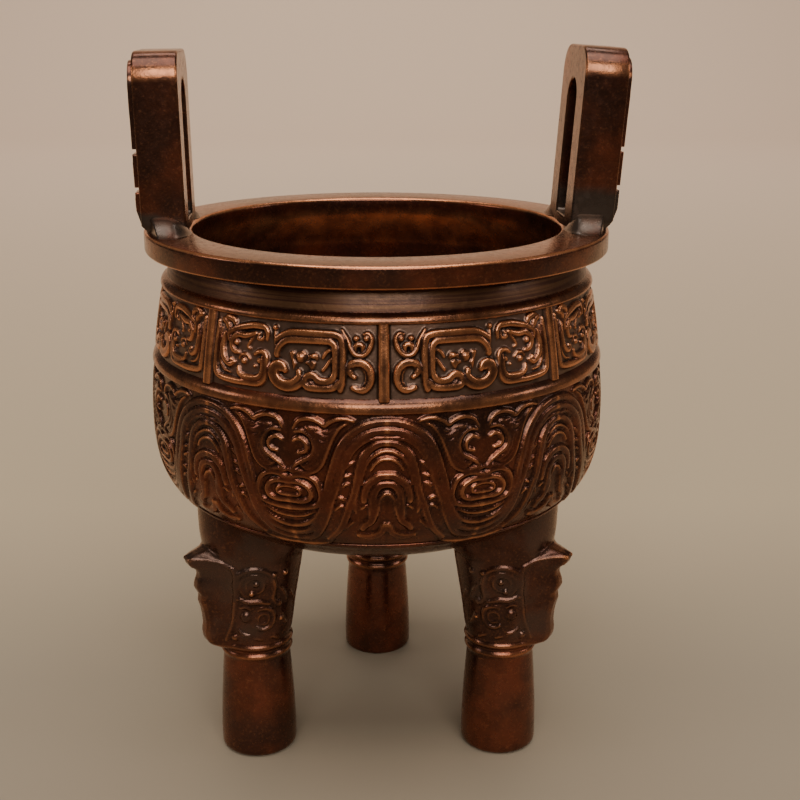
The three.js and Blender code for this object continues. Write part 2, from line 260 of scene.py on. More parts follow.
class Sheet:
    """Heights over one cell, in millimetres. x is the way along the band, y the way up it."""

    def __init__(self, cell, per_degree, foot, top):
        self.cell, self.per_degree, self.foot, self.top = cell, per_degree, foot, top
        width, height = cell * per_degree, top - foot
        self.y, self.x = np.mgrid[0:height + PITCH:PITCH, 0:width + PITCH:PITCH]
        self.height = np.zeros_like(self.x)
        self.cut = np.zeros_like(self.x)

    def placed(self, points):
        """Points drawn as bearing and height become millimetres on the sheet."""
        return [(bearing * self.per_degree, height - self.foot) for bearing, height in points]

    def patch(self, low, high):
        spans = [slice(max(0, int(a / PITCH)), max(0, int(b / PITCH) + 2)) for a, b in zip(low, high)]
        return spans[1], spans[0]

    def raise_to(self, where, bump):
        self.height[where] = np.maximum(self.height[where], bump)

    def stroke(self, points, width, rise, taper=0.45, edge=0.28):
        """A ridge with a flat top and rounded edges. A negative rise cuts a groove instead."""
        path = smooth_path(points)
        count = len(path) - 1
        for i, (start, end) in enumerate(zip(path, path[1:])):
            share = math.sin(math.pi * (i + 0.5) / count) ** 0.5
            half = width / 2 * (taper + (1 - taper) * share)
            where = self.patch(np.minimum(start, end) - half, np.maximum(start, end) + half)
            x, y = self.x[where], self.y[where]
            if not x.size:
                continue
            inward = np.clip((half - off_line(x, y, start, end)) / min(edge, half), 0, 1)
            bump = rise * (taper + (1 - taper) * share) ** 0.5 * np.sqrt(inward * (2 - inward))
            if rise > 0:
                self.raise_to(where, bump)
            else:
                self.cut[where] = np.minimum(self.cut[where], bump)

    def draw(self, lines, width, rise, taper, edge=0.28):
        for line in lines:
            if line[0][0] == 0:  # a line from the mirror goes on behind it
                line = [(-line[1][0], line[1][1])] + line
            self.stroke(self.placed(line), width, rise, taper, edge)

    def bead(self, centre, radius, rise):
        centre = np.asarray(centre, float)
        where = self.patch(centre - radius, centre + radius)
        off = np.hypot(self.x[where] - centre[0], self.y[where] - centre[1]) / radius
        self.raise_to(where, rise * np.sqrt(np.clip(1 - off**2, 0, 1)))

    def beads(self, places):
        for bearing, height, radius in places:
            self.bead(self.placed([(bearing, height)])[0], radius, rise=0.6)

    def pad(self, outline, rise, edge):
        """A flat raised leaf inside a closed outline, with a rounded edge."""
        path = smooth_path(self.placed(outline + outline[:1]))
        where = self.patch(path.min(0), path.max(0))
        x, y = self.x[where], self.y[where]
        inside = np.zeros(x.shape, bool)
        nearest = np.full(x.shape, 1e9)
        for start, end in zip(path, path[1:]):
            way = end - start
            crosses = (start[1] > y) != (end[1] > y)
            reach = start[0] + (y - start[1]) * way[0] / (way[1] if abs(way[1]) > 1e-9 else 1e-9)
            inside ^= crosses & (x < reach)
            nearest = np.minimum(nearest, off_line(x, y, start, end))
        rounded = np.clip(nearest / edge, 0, 1)
        self.raise_to(where, np.where(inside, rise * np.sqrt(rounded * (2 - rounded)), 0))

    def settled(self):
        """Cuts the grooves into the ridges."""
        self.height = np.maximum(self.height + self.cut, np.minimum(self.height, 0.05))

    def softened(self, reach):
        """The heights averaged over a square window, which is what lies around a point."""
        blurred = self.height
        for axis in (0, 1):
            count = max(1, int(reach / PITCH))
            shifted = [np.roll(blurred, shift, axis) for shift in range(-count, count + 1)]
            blurred = np.mean(shifted, axis=0)
        return blurred

    def read(self, grid, x, y):
        """The grid's values at any points, blended between the four nearest."""
        column = np.clip(x / PITCH, 0, grid.shape[1] - 1.001)
        row = np.clip(y / PITCH, 0, grid.shape[0] - 1.001)
        i, j = row.astype(int), column.astype(int)
        down, right = row - i, column - j
        top = grid[i, j] * (1 - right) + grid[i, j + 1] * right
        low = grid[i + 1, j] * (1 - right) + grid[i + 1, j + 1] * right
        return top * (1 - down) + low * down

    def relief_at(self, where, x, y):
        """The height at each point, and the mean height around it. Both are 0 outside the carved place."""
        grids = self.height, self.softened(SURROUNDINGS)
        return [np.where(where, self.read(grid, x, y), 0) for grid in grids]


# %% [markdown]
# ## Placing a pattern on the bowl
# A band is a closed ring of fine faces, half sunk in the bowl. Each vertex is told its bearing from the
# middle of the front. The pattern repeats, mirrored on every bar or crest, so the bearing is folded back
# into one cell before the sheet is read. The height there pushes the vertex out, and the difference from
# its surroundings is kept for the patina: tops of ridges are worn bright, the hollows stay dark, and the
# flat ground of the upper band is dull and also painted paler, as a painted sheen.

# %% Band tools
RING_OVERLAP, RING_DEPTH = 0.3, 1.4
GROUND_SINK = 0.06


def carved_ring(name, sheet, turn, steps, sectors, rows, rubbing, contrast, matte=0):
    """A ring with the sheet's relief, repeated and mirrored from cell to cell."""
    foot, cell = sheet.foot, sheet.cell
    heights = np.linspace(foot - RING_OVERLAP, sheet.top + RING_OVERLAP, rows)
    skin = list(zip(ground(heights), heights))
    back = [(skin[end][0] - RING_DEPTH, skin[end][1]) for end in (-1, 0)]
    ring = finished(turned(skin + back, steps, sectors, ring=True), name)
    points = points_of(ring.data)
    x, y, z = points.T
    radius = np.hypot(x, y)
    front = radius > ground(z) - RING_DEPTH / 2
    bearing = np.degrees(np.arctan2(x, -y)) - turn
    folded = np.abs((bearing + cell) % (2 * cell) - cell)
    across = folded / cell * sheet.x[0, -1]
    relief, around = sheet.relief_at(front, across, z - foot)
    slope = (ground(z + 0.1) - ground(z - 0.1)) / 0.2
    lean = np.hypot(1, slope)
    out = np.where(front, relief - GROUND_SINK, 0)
    grown = (radius + out / lean) / radius
    move_points(ring.data, np.stack([x * grown, y * grown, z - out * slope / lean], 1))
    mark(ring.data, "relief", np.clip(rubbing * relief / 0.5 + contrast * (relief - around), -1, 1))
    # painted sheen: this mark makes the flat ground dull and also paints it paler, for the sheen of light on
    # it
    mark(ring.data, "matte", matte * np.clip(1 - relief / 0.2, 0, 1))
    return ring


# %% [markdown]
# ## The upper band
# Upright bars part the band into panels. Beside the front bar sits a small owl mask over a scroll, then a
# square dragon with an eye and a hooked tail, and then a second dragon that faces it. The points below were
# read off the photo as bearing from the front and height above the ground.

# %% Dragon band drawing
DRAGON_CELL, DRAGON_TURN = 45, 1.1
DRAGON_DEGREE = math.radians(34.2)
dragon_sheet = Sheet(DRAGON_CELL, DRAGON_DEGREE, MIDDLE_RIB[1], SHOULDER_RIB[0])


def draw_dragon(lines, width=1.1, rise=0.55, taper=0.5):
    dragon_sheet.draw(lines, width, rise, taper)


for middle in (0, DRAGON_CELL):
    bar = dragon_sheet.placed([(middle, 64), (middle, 76)])
    dragon_sheet.stroke(bar, 1.6, 0.65, taper=1, edge=0.4)
draw_dragon([
    # the owl mask's outline, with its stem to the dragon's corner
    [(4.5, 73.7), (3.5, 73.8), (2.8, 73.2), (2.9, 72.3), (3.6, 71.5), (4.9, 70.9), (6.4, 71.0), (7.5, 71.7),
     (8.3, 73), (9.6, 74.2)],
    # the owl's beak
    [(4.9, 71.5), (4.8, 72.1), (5.6, 72.4), (6.5, 72.1), (6.4, 71.5)],
], width=0.78, rise=0.5)
draw_dragon([
    # the scroll under it
    [(7.2, 68.3), (7.9, 69.0), (7.2, 69.7), (5.5, 69.9), (3.9, 69.4), (3.2, 68.3), (3.5, 67.1), (4.8, 66.4),
     (6.9, 66.6)],
], width=1.4)
draw_dragon([
    # the near dragon's broad square back
    [(9.8, 66.3), (9.4, 67.4), (9.3, 69.4), (9.4, 72), (9.8, 73.1), (10.9, 73.5), (13, 73.6), (20.3, 73.6),
     (22.6, 73.4), (24.3, 72.9), (25.3, 72.5)],
    [(11.0, 68.6), (11.0, 70.1), (11.1, 71.8), (11.9, 72.5), (13.6, 72.7), (21.4, 72.6), (23.2, 72.3),
     (24.4, 71.7), (25.1, 70.9), (25.1, 70.4)],
    # its tail
    [(11.0, 68.8), (11.4, 67.9), (12.3, 67.4), (13.6, 67.3), (14.9, 67.5), (15.6, 67.9), (16.6, 68.1),
     (17.7, 67.8), (17.9, 67.2)],
    [(10.2, 67.2), (11.2, 66.6), (13, 66.4), (16.9, 66.4), (17.9, 66.8), (18.0, 67.3)],
    # the jaw's scroll
    [(19.5, 68.4), (19.4, 67.8), (20.3, 67.2), (21.4, 66.8), (22.8, 66.7), (24.2, 67.0), (25.1, 67.7),
     (25.2, 68.4), (24.5, 68.8), (23.9, 68.6)],
    [(18.4, 67.2), (19.2, 66.7), (20.8, 66.2), (22.6, 66.1), (24.3, 66.4), (25.7, 67.1), (26.3, 68.0),
     (25.9, 68.9), (24.8, 69.3), (23.4, 69.1), (22.9, 68.5)],
], width=1.1, rise=0.6, taper=0.8)
draw_dragon([
    [(11.6, 71.6), (12.7, 71.4), (13.4, 71.0), (13.9, 70.5)],
    [(11.5, 70.6), (12.4, 70.0), (13.2, 69.3), (13.9, 68.8)],
    [(14.0, 66.9), (16.0, 66.9), (17.0, 67.2), (16.6, 67.5)],
    [(25.8, 73.5), (25.7, 72.4), (25.4, 71.2)],
], width=0.62, rise=0.42, taper=0.7)
# the head, a raised leaf with a snout, brow and cheek
dragon_sheet.pad(
    [(14.6, 70.5), (15.4, 71.1), (16.6, 71.0), (17.4, 70.9), (18.6, 71.3), (20.0, 71.1), (22.0, 71.0),
     (21.5, 69.9), (21.1, 68.9), (20.6, 68.5), (20.2, 69.2), (18.8, 69.5), (17.4, 69.3), (16.5, 68.6),
     (15.6, 69.2), (15.2, 69.9)],
    rise=0.34, edge=0.3,
)
draw_dragon([
    [(7.4, 69.2), (5.6, 69.4), (4.2, 68.9), (3.8, 67.9), (4.3, 67.0), (6.2, 66.7)],
    [(17.6, 71.0), (17.8, 70.2), (18.7, 69.5), (20.0, 69.6), (20.6, 70.4), (20.2, 71.1)],
    [(15.4, 69.9), (16.4, 70.2), (17.3, 69.9)],
], width=0.33, rise=-0.3)
draw_dragon([
    # the far dragon, which looks back at the near one
    [(27.9, 72.3), (27.8, 73.2), (28.6, 73.8), (30, 73.9), (32, 73.9), (34.3, 73.6), (36.6, 73.2),
     (38.8, 72.5), (38.7, 71.4)],
    [(31.0, 70.1), (29.9, 70.5), (28.7, 70.5), (27.9, 70.1), (27.7, 69.0), (27.8, 67.7), (28.5, 66.7),
     (29.8, 66.2), (33, 66.1), (38, 66.1), (41.7, 66.5), (42.5, 67.8), (42.6, 70), (42.5, 73.8)],
    [(28.8, 69.9), (28.7, 68.2), (29.2, 67.3), (30.3, 66.9), (32.0, 66.8), (34.0, 66.9), (35.2, 67.3),
     (35.5, 68.0)],
    [(37.1, 73.6), (37.6, 74.2), (39, 74.5), (40.2, 74.4)],
    [(39.1, 73.0), (39.7, 73.8), (41, 74.1)],
    [(31.0, 72.9), (33.8, 72.4), (36.2, 72.4), (37.8, 71.4), (37.2, 70.2), (35.6, 70.0)],
    [(40.1, 72.4), (40.6, 70.6), (40.0, 69.0), (38.2, 68.2), (36.8, 68.6)],
], width=1)
draw_dragon([
    [(28.8, 73.2), (28.9, 72.3), (30.4, 72.2), (30.0, 73.0)],
    [(31.2, 72.5), (32.4, 71.8), (33.1, 71.0), (32.4, 70.7)],
    [(32.4, 69.3), (33.2, 69.8), (34.6, 69.8), (35.4, 69.2)],
    [(37.8, 67.1), (39.8, 67.4), (41.2, 68.6), (41.4, 71), (41.4, 73)],
], width=0.53, rise=0.4)
dragon_sheet.beads([
    (3.95, 73.15, 0.44), (6.3, 73.15, 0.44), (6.6, 68.05, 0.36), (19.2, 70.35, 0.62), (16.1, 70.6, 0.45),
    (24.8, 68.25, 0.3), (25.9, 74.0, 0.4), (29.6, 69.3, 0.42), (33.9, 69.0, 0.5), (30.8, 68.5, 0.25),
    (36.4, 71.3, 0.45), (37.7, 68.9, 0.35),
])
dragon_sheet.settled()
dragon_band = carved_ring(
    "dragon_band", dragon_sheet, DRAGON_TURN, steps=1296, sectors=36, rows=66, rubbing=0.36, contrast=3.4,
    matte=0.6,
)
pieces.append(dragon_band)

# %% [markdown]
# ## The lower band
# A wave of several lines runs round the belly, eight crests in all. An arch stands under each crest. From
# each trough hangs a pair of leaves over a round basin, like the horns and muzzle of a beast. Half a crest
# is drawn, and the fold makes the rest.

# %% Wave band drawing
WAVE_CELL, WAVE_TURN = 22.5, 1.7
WAVE_DEGREE = math.radians(35)
wave_sheet = Sheet(WAVE_CELL, WAVE_DEGREE, BORDER[1], MIDDLE_RIB[0])


def draw_wave(lines, width=1.2, rise=0.5, taper=0.5):
    wave_sheet.draw(lines, width, rise, taper)


draw_wave([
    # the two outer lines of the wave
    [(0, 62.05), (2.5, 61.95), (5, 61.5), (7, 60.8), (9, 59.7), (10.5, 58.3), (11.5, 56.7), (12.3, 55),
     (13.0, 53.5), (13.6, 51.7), (14.5, 49.2), (16.5, 46.7), (19, 45.5), (22.5, 45), (24, 45)],
    [(0, 60.9), (3, 60.7), (5, 60.2), (7, 59.3), (8.5, 58.3), (9.6, 56.9), (10.2, 55.5), (10.7, 54.1),
     (11.6, 52.4), (12.6, 50.7), (13.5, 48.7), (15, 46.6), (17, 44.9), (20, 44.1), (24, 44)],
    # the arch under the crest
    [(0, 59.2), (1.8, 59.1), (3.5, 58.5), (5, 57.5), (5.9, 56.2), (6.4, 54.7), (6.8, 53.2), (7.4, 51.6),
     (8.3, 50.3), (9.1, 48.7), (10.5, 46.7), (12, 45.5), (14, 44.3)],
    [(0, 54.6), (1.5, 54.5), (3, 54), (4.3, 53.2), (5.0, 52), (5.2, 50.9)],
    [(0, 53.4), (1.5, 53.2), (2.5, 52.6), (3.1, 51.6), (3.2, 50.2), (3.6, 48.9)],
    # the arch's feet
    [(2.2, 50), (2.8, 48.9), (3.6, 47.8), (4.8, 47.2), (5.6, 46.5)],
    [(0.6, 47.1), (1.0, 46.1), (2.5, 45.4), (4.5, 45.1), (6.5, 45.3)],
], taper=0.7)
draw_wave([
    [(0, 58.1), (1.5, 57.9), (3.4, 57.2), (4.7, 56.1), (5.4, 54.7), (5.7, 53.3)],
    [(0, 57), (1.5, 56.8), (2.8, 56.2), (3.6, 55.4)],
    [(0, 52), (1, 51.7), (1.8, 51), (2.1, 50.1)],
    [(11, 57.7), (12.1, 55.7), (12.7, 54.3)],
    [(12, 45.1), (14, 43.7), (17, 43.2), (20, 43.1), (24, 43.1)],
    [(0, 60), (3, 59.8), (5, 59.3), (7, 58.3), (8.4, 57), (9.3, 55.6)],
    [(12.4, 52.6), (13.0, 50.7), (13.9, 48.5), (15.6, 46.4), (17.6, 45.1)],
], width=0.62, rise=0.4, taper=0.7)
draw_wave([
    [(7.6, 56.4), (8.6, 56.0), (9.4, 55.4)], [(8.3, 54.6), (9.5, 54.4), (10.4, 54.5)],
    [(8.6, 53.3), (9.4, 53.2), (10.0, 52.8)], [(9.5, 50.9), (10.3, 51.2), (11, 51.2)],
    [(9.7, 49.9), (10.8, 49.9), (11.8, 49.3)], [(4.3, 50.1), (5, 50.1), (5.7, 49.7)],
    [(6.8, 51), (7.3, 50), (7.0, 49)], [(7.6, 47.6), (8.8, 47.0), (9.7, 46.2)],
], width=0.55, rise=0.4)
# the raised leaf, then the lines round it
wave_sheet.pad(
    [(9.0, 61.6), (11.5, 61.2), (13.8, 60.7), (16, 61.2), (18.6, 61.0), (17.0, 59.9), (16.0, 58.6),
     (16.2, 57.4), (17.8, 56.2), (19.6, 55.6), (18, 54.9), (16.2, 55.2), (14.6, 56.3), (13.4, 58.2),
     (12.0, 60.0), (10.4, 61.1)],
    rise=0.42, edge=0.45,
)
draw_wave([
    [(7.3, 62.1), (9, 62.4), (11, 62.35), (12.8, 61.9), (14, 61.4), (15, 61.8), (17, 62.2), (19, 62.1),
     (20.4, 61.6), (21.2, 60.7)],
    [(20.9, 60.3), (19, 60.4), (17.3, 59.8), (16.3, 58.7), (16.4, 57.7), (17.3, 56.9), (19, 56.3),
     (20.5, 55.7), (21.5, 55.0)],
    [(21.2, 59.0), (19.8, 59.4), (18.4, 59.0), (17.9, 58.3), (18.5, 57.6), (20, 57.4)],
    [(9, 61.8), (10.6, 61.1), (12.1, 59.7), (13.4, 57.7), (14.5, 56.0), (16, 55.0), (18, 54.6), (20, 54.8),
     (21.6, 55.0)],
], width=0.78)
draw_wave([
    [(11.5, 60.9), (13.6, 60.2), (15, 60.6), (16.6, 60.8)],
    [(12.6, 60.0), (14.0, 59.4), (15.2, 59.7)],
    [(14.6, 58.6), (15.0, 57.2), (16.4, 56.0), (18.2, 55.4)],
], width=0.3, rise=-0.2)
draw_wave([
    # the basin, three ovals one in another, and the chin lines under it
    [(24.5, 54.0), (22.5, 53.7), (20.4, 54.1), (18.0, 54.1), (16.0, 53.4), (15.0, 52.0), (15.0, 50.8),
     (16.2, 49.8), (18.5, 49.4), (21, 49.2), (24.5, 49.1)],
    [(24.5, 53.0), (22.5, 53.1), (20.0, 53.1), (18.1, 52.6), (17.2, 51.7), (17.6, 50.8), (19.2, 50.3),
     (22, 50.3), (24.5, 50.4)],
    [(14.1, 51.2), (14.9, 49.4), (16.6, 47.8), (19, 46.8), (21.5, 46.4), (24.5, 46.3)],
], width=0.85, taper=0.85)
draw_wave([
    [(16.6, 48.9), (18.8, 48.2), (21.5, 47.9), (24.5, 47.9)],
    [(24.5, 52.3), (22, 52.4), (20.2, 52.1), (19.7, 51.6), (20.6, 51.1), (24.5, 51.1)],
    [(20, 54.9), (21.4, 54.6), (22.5, 54.8)],
], width=0.55, rise=0.42, taper=0.8)
wave_sheet.settled()
wave_band = carved_ring(
    "wave_band", wave_sheet, WAVE_TURN, steps=960, sectors=32, rows=98, rubbing=0.06, contrast=3.2,
)
pieces.append(wave_band)

# %% [markdown]
# ## The legs
# Each leg is a turned post: a rounded foot, a slim ankle with a double ring, and a calf that widens into
# the bowl. A beast's mask is carved on its upper part. Its profile, with brow, nose and chin, stands out as
# a flange along the outer side, and its cheeks carry a coiled horn and an eye. The top of the leg follows
# the bowl's underside, so that nothing pokes through the floor. The upper part is dusky, so it gets some of
# the mark that filler metal has.

# %% Leg drawing
LEG_CIRCLE, LEG_TOP = 22.6, 46.0
SPREAD_START, LEG_SINK = 34, 1.0
ANKLE_RINGS = (17.5, 19.1)
leg_line = smooth_path([
    (6.0, 1.1), (6.0, 4), (5.86, 8), (5.62, 12), (5.36, 15.6), (5.30, 16.7), (5.70, 17.5), (5.36, 18.3),
    (5.80, 19.1), (5.50, 19.9), (5.82, 21.5), (6.45, 26), (7.6, 33), (8.25, 38), (8.42, 42),
    (8.45, LEG_TOP),
], step=0.26)
flange_line = np.array([
    (5.6, 18.3), (6.3, 18.6), (7.0, 19.0), (7.9, 19.5), (8.5, 20.1), (8.85, 20.9), (8.95, 21.8),
    (8.75, 23.3), (8.85, 24.4), (9.1, 25.8), (9.5, 27.1), (9.35, 28.2), (9.7, 28.8), (10.05, 29.6),
    (9.9, 30.5), (9.5, 31.4), (9.55, 32.1), (10.2, 32.9), (10.95, 33.4), (11.25, 34.0), (11.2, 34.6),
    (10.6, 35.1), (9.6, 35.6), (8.8, 36.1), (7.9, 36.7),
])
MASK_FOOT, MASK_TOP = 18.3, 38.2
MASK_DEGREE = math.radians(7.2)
CHEEK = 30.0
mask_sheet = Sheet(180, MASK_DEGREE, MASK_FOOT, MASK_TOP)


def draw_mask(lines, width, rise, taper=0.5):
    mask_sheet.draw(lines, width, rise, taper, edge=0.5)


def coil(centre, radius, start, end, count=12):
    """An arc drawn on the leg, with its centre as bearing and height and its radius in millimetres."""
    return [(centre[0] + x / MASK_DEGREE, centre[1] + y) for x, y in arc((0, 0), radius, start, end, count)]


draw_mask([
    # brow and the plate's edge on the cheek
    [(4, 34.6), (14, 34.9), (24, 34.7), (33, 34.0), (42, 33.0), (41, 29.5), (36, 26.5), (31, 24), (25, 22),
     (20, 20.5)],
    coil((65, 30.4), 3.1, 205, 25),
    coil((76, 24.6), 1.9, 120, -130),
    [(44, 28.3), (56, 27.7), (70, 27.7), (84, 27.2)], [(86, 32), (90, 30), (88, 28.2), (95, 26.6)],
], width=0.95, rise=0.45)
draw_mask([
    coil((65, 30.4), 2.25, 230, 20), coil((65.5, 30.7), 1.35, 200, -100), coil((76, 24.6), 1.0, 200, -120),
    [(66, 26.8), (74, 26.7), (82, 26.3)], [(96, 30), (104, 28.6), (110, 27.0)],
    [(104, 24.6), (110, 23.2), (116, 22.6)], [(86, 21.3), (94, 20.9), (102, 20.4)],
    [(38, 22.6), (46, 21.8), (56, 21.6)], [(118, 28), (124, 27), (130, 26.2)],
    [(62, 21.2), (74, 20.8)], [(44, 26.6), (52, 26.9), (59, 26.4)],
], width=0.66, rise=0.34)
mask_sheet.beads([
    (51, 25.0, 1.0), (31, 21, 0.65), (67, 31, 0.5), (88, 32.3, 0.5), (103, 32.2, 0.45), (43, 28.3, 0.45),
    (97, 27, 0.6), (102, 24.1, 0.4), (61, 29.3, 0.5),
])


def flange_reach(bearing, height, skin):
    """How far the flange stands out: flat on its edge, then straight down to where the cheek begins."""
    reach = np.interp(height, flange_line[:, 1], flange_line[:, 0], left=0, right=0)
    angle = np.radians(bearing)
    half_edge = 0.85
    cheek = math.radians(CHEEK)
    dx, dy = skin * math.cos(cheek) - reach, skin * math.sin(cheek) - half_edge
    across = dx * np.sin(angle) - dy * np.cos(angle)
    across = np.where(np.abs(across) < 1e-6, 1e-6, across)
    share = (half_edge * np.cos(angle) - reach * np.sin(angle)) / across
    side = np.hypot(reach + share * dx, half_edge + share * dy)
    edge = reach / np.cos(np.minimum(angle, 1))
    shape = np.where(np.tan(np.minimum(angle, 1)) * reach < half_edge, edge, side)
    return np.where((bearing < CHEEK) & (reach > skin), shape, 0)


def carved_leg(name, direction):
    """A leg at a direction in degrees from +X, with its mask looking outwards."""
    foot = [(0, 0), (2.5, 0)] + arc((5.0, 1.0), 1.0, -90, 0, 7)[:-1]
    cap = [(radius, LEG_TOP) for radius in (7.5, 6.0, 4.5, 3.0, 1.5, 0)]
    leg = finished(turned(foot + [tuple(point) for point in leg_line] + cap, 190, 19), name)
    x, y, z = points_of(leg.data).T
    radius = np.hypot(x, y)
    skin = np.interp(z, leg_line[:, 1], leg_line[:, 0])
    wall = (radius > skin - 0.3) & (z > MASK_FOOT) & (z < LEG_TOP - 0.01)
    bearing = np.abs(np.degrees(np.arctan2(y, x)))
    on_mask = wall & (z < MASK_TOP)
    relief, around = mask_sheet.relief_at(on_mask, bearing * MASK_DEGREE, z - MASK_FOOT)
    flange = np.where(wall, flange_reach(bearing, z, skin), 0)
    grown = np.maximum(radius, flange) + relief
    scale = np.where(radius > 0, grown / np.maximum(radius, 1e-6), 1)
    out, side = x * scale + LEG_CIRCLE, y * scale
    top = ground_height(np.hypot(out, side)) + LEG_SINK
    share = np.clip((z - SPREAD_START) / (LEG_TOP - SPREAD_START), 0, 1)
    height = np.where(z > SPREAD_START, SPREAD_START + share * (top - SPREAD_START), z)
    move_points(leg.data, np.stack([*swung(out, side, direction), height], 1))
    ring = sum(np.exp(-((z - middle) / 0.5) ** 2) for middle in ANKLE_RINGS)
    arris = np.where((flange > 0) & (np.tan(np.radians(np.minimum(bearing, 60))) * grown < 1.2), 0.35, 0)
    mark(leg.data, "relief", np.clip((relief - around) * 3 + 0.5 * ring + arris, -1, 1))
    mark(leg.data, "solder", 0.2 + 0.25 * np.clip((z - 16) / 6, 0, 1))
    return leg


for name, direction in [("leg_back", 90), ("leg_left", 210), ("leg_right", 330)]:
    pieces.append(carved_leg(name, direction))

# %% [markdown]
# ## The ears
# An ear is an upright slab with a long slot, its upper corners round. On its outer face stand raised,
# carved plates: an arch round the slot's top and two blocks down each arm. A plate is a flat grid bent
# between two drawn edges and then given its thickness, and its sharp corners are beveled. The ears lean
# out, the right one more than the left, and they were set on the rim a little askew.

# %% Ear tools
EAR_WIDTH, EAR_THICKNESS, EAR_HEIGHT, EAR_CORNER = 17.0, 6.5, 26.75, 4.0
SLOT_HALF, SLOT_FOOT, SLOT_TOP = 3.2, 1.4, 21.8
PLATE_RISE, PLATE_INSET, PLATE_GAP = 0.8, 1.3, 0.7
PLATE_SINK, PLATE_BEVEL, CARVING_RISE, FOLD_HEIGHT = 0.4, 0.2, 0.32, 2.2
EAR_ROOT = -1.6


def along(line, share):
    """The point a share of the way through a list of points, corner by corner."""
    line = np.asarray(line, float)
    place = share * (len(line) - 1)
    return np.array([np.interp(place, range(len(line)), line[:, axis]) for axis in (0, 1)])


def plate(outer, inner, near, far, cells, bevel, closed=False):
    """A plate in the YZ plane between two drawn edges, from x = near to x = far, in millimetres."""
    bm = bmesh.new()
    bmesh.ops.create_grid(bm, x_segments=cells[0], y_segments=cells[1], size=1)
    for vert in bm.verts:
        share, across = (vert.co.x + 1) / 2, (vert.co.y + 1) / 2
        y, z = along(inner, share) * (1 - across) + along(outer, share) * across
        vert.co = (near * MM, y * MM, z * MM)
    if closed:
        bmesh.ops.remove_doubles(bm, verts=bm.verts[:], dist=1e-7)
    face_outwards(bm)
    if bm.faces[0].normal.x > 0:
        bmesh.ops.reverse_faces(bm, faces=bm.faces[:])
    bmesh.ops.solidify(bm, geom=bm.faces[:], thickness=(far - near) * MM)
    face_outwards(bm)
    if bevel:
        sharp = [edge for edge in bm.edges if len(edge.link_faces) == 2 and edge.calc_face_angle() > 0.9]
        bmesh.ops.bevel(
            bm, geom=sharp, offset=bevel * MM, offset_type="OFFSET", segments=3, profile=0.5, affect="EDGES",
            material=-1,
        )
    return bm


# %% [markdown]
# The slab's two edges have matching corners: foot, arm, round corner and crown. The crown's points are
# spread evenly by walking both edges at the same share. One ear is drawn, with a shallow carving of hooks
# and spirals on its plates, and is then leaned, lifted to the rim and turned to its side.

# %% Ear shapes
def both_sides(right_half):
    """A line drawn from the foot's middle up the right side to the crown's middle, made whole."""
    return right_half + [(-y, z) for y, z in right_half[-2::-1]]


def matched(outer_runs, inner_runs, count):
    """Joins runs of points so that each run of one edge has as many points as its partner on the other."""
    lines = []
    for runs in (outer_runs, inner_runs):
        whole = []
        for number, run in enumerate(runs):
            places = [along(run, share) for share in np.linspace(0, 1, count[number] + 1)]
            whole += [tuple(place) for place in (places if number == 0 else places[1:])]
        lines.append(both_sides(whole))
    return lines


def outer_side(half, foot, top, corner):
    """Up the arm, round the corner and along the crown."""
    return [
        [(half, foot), (half, top - corner)],
        arc((half - corner, top - corner), corner, 0, 90, 13),
        [(half - corner, top), (0, top)],
    ]


def inner_side(half, foot):
    """Up the slot's side and over its round top, in two parts."""
    middle = (0, SLOT_TOP - half)
    return [[(half, foot), (half, middle[1])], arc(middle, half, 0, 50, 13), arc(middle, half, 50, 90, 9)]


def slab_edges(height):
    half = EAR_WIDTH / 2
    outer = [[(0, EAR_ROOT), (half, EAR_ROOT)]] + outer_side(half, EAR_ROOT, height, EAR_CORNER)
    inner = [[(0, SLOT_FOOT), (SLOT_HALF, SLOT_FOOT)]] + inner_side(SLOT_HALF, SLOT_FOOT)
    return matched(outer, inner, (12, 44, 14, 8))


def arch_edges(height, level):
    corner = EAR_CORNER - PLATE_INSET / 2
    outer = outer_side(EAR_WIDTH / 2 - PLATE_INSET, level, height - PLATE_INSET, corner)
    return matched(outer, inner_side(SLOT_HALF + PLATE_INSET / 2, level), (34, 16, 14))


ear_sheet = Sheet(EAR_WIDTH / 2, 1, 0, EAR_HEIGHT)
for line, width in [
    ([(4.2, 13.6), (4.2, 18.8), (3.9, 20.8), (2.6, 22.6), (0, 23.4), (-1, 23.4)], 0.7),
    ([(6.7, 13.2), (6.8, 20.0), (6.2, 22.9), (4.6, 24.4), (2.4, 24.9), (0, 24.9)], 0.7),
    ([(5.4, 13.6), (6.1, 14.6), (5.4, 15.6), (4.9, 16.8), (5.6, 17.8), (6.0, 19.0), (5.2, 20.0)], 0.6),
    ([(1.6, 24.1), (3.2, 23.9), (4.6, 23.2), (5.3, 21.9), (4.6, 21.4)], 0.55),
    ([(4.4, 7.6), (4.4, 11.2), (5.6, 11.4), (6.6, 10.6), (6.6, 8.6), (5.6, 7.8), (5.3, 9.2)], 0.7),
    ([(4.5, 5.7), (6.4, 5.6), (6.7, 4.2), (5.6, 3.4), (4.7, 4.2), (5.5, 4.7)], 0.65),
]:
    ear_sheet.stroke(line, width, CARVING_RISE)
ear_sheet.bead((5.5, 12.2), 0.5, 0.3)


def edge_wear(bm):
    """How far each vertex's normal leans between broad and narrow faces: 1 on a bevel's middle."""
    bm.normal_update()
    return [4 * vert.normal.x**2 * (1 - vert.normal.x**2) for vert in bm.verts]


ROOT_HEIGHT, ROOT_SLANT, ROOT_REACH = 3.7, 3.8, 34.8
ANYWHERE = 9


def rim_reach(height):
    """How far out the ears may stand: at their roots they slant in to the rim's flat top."""
    up = height - RIM_TOP
    slant = np.clip(up / ROOT_HEIGHT, 0, 1) * ROOT_SLANT
    return ROOT_REACH + slant + np.where(up > ROOT_HEIGHT, ANYWHERE, 0)


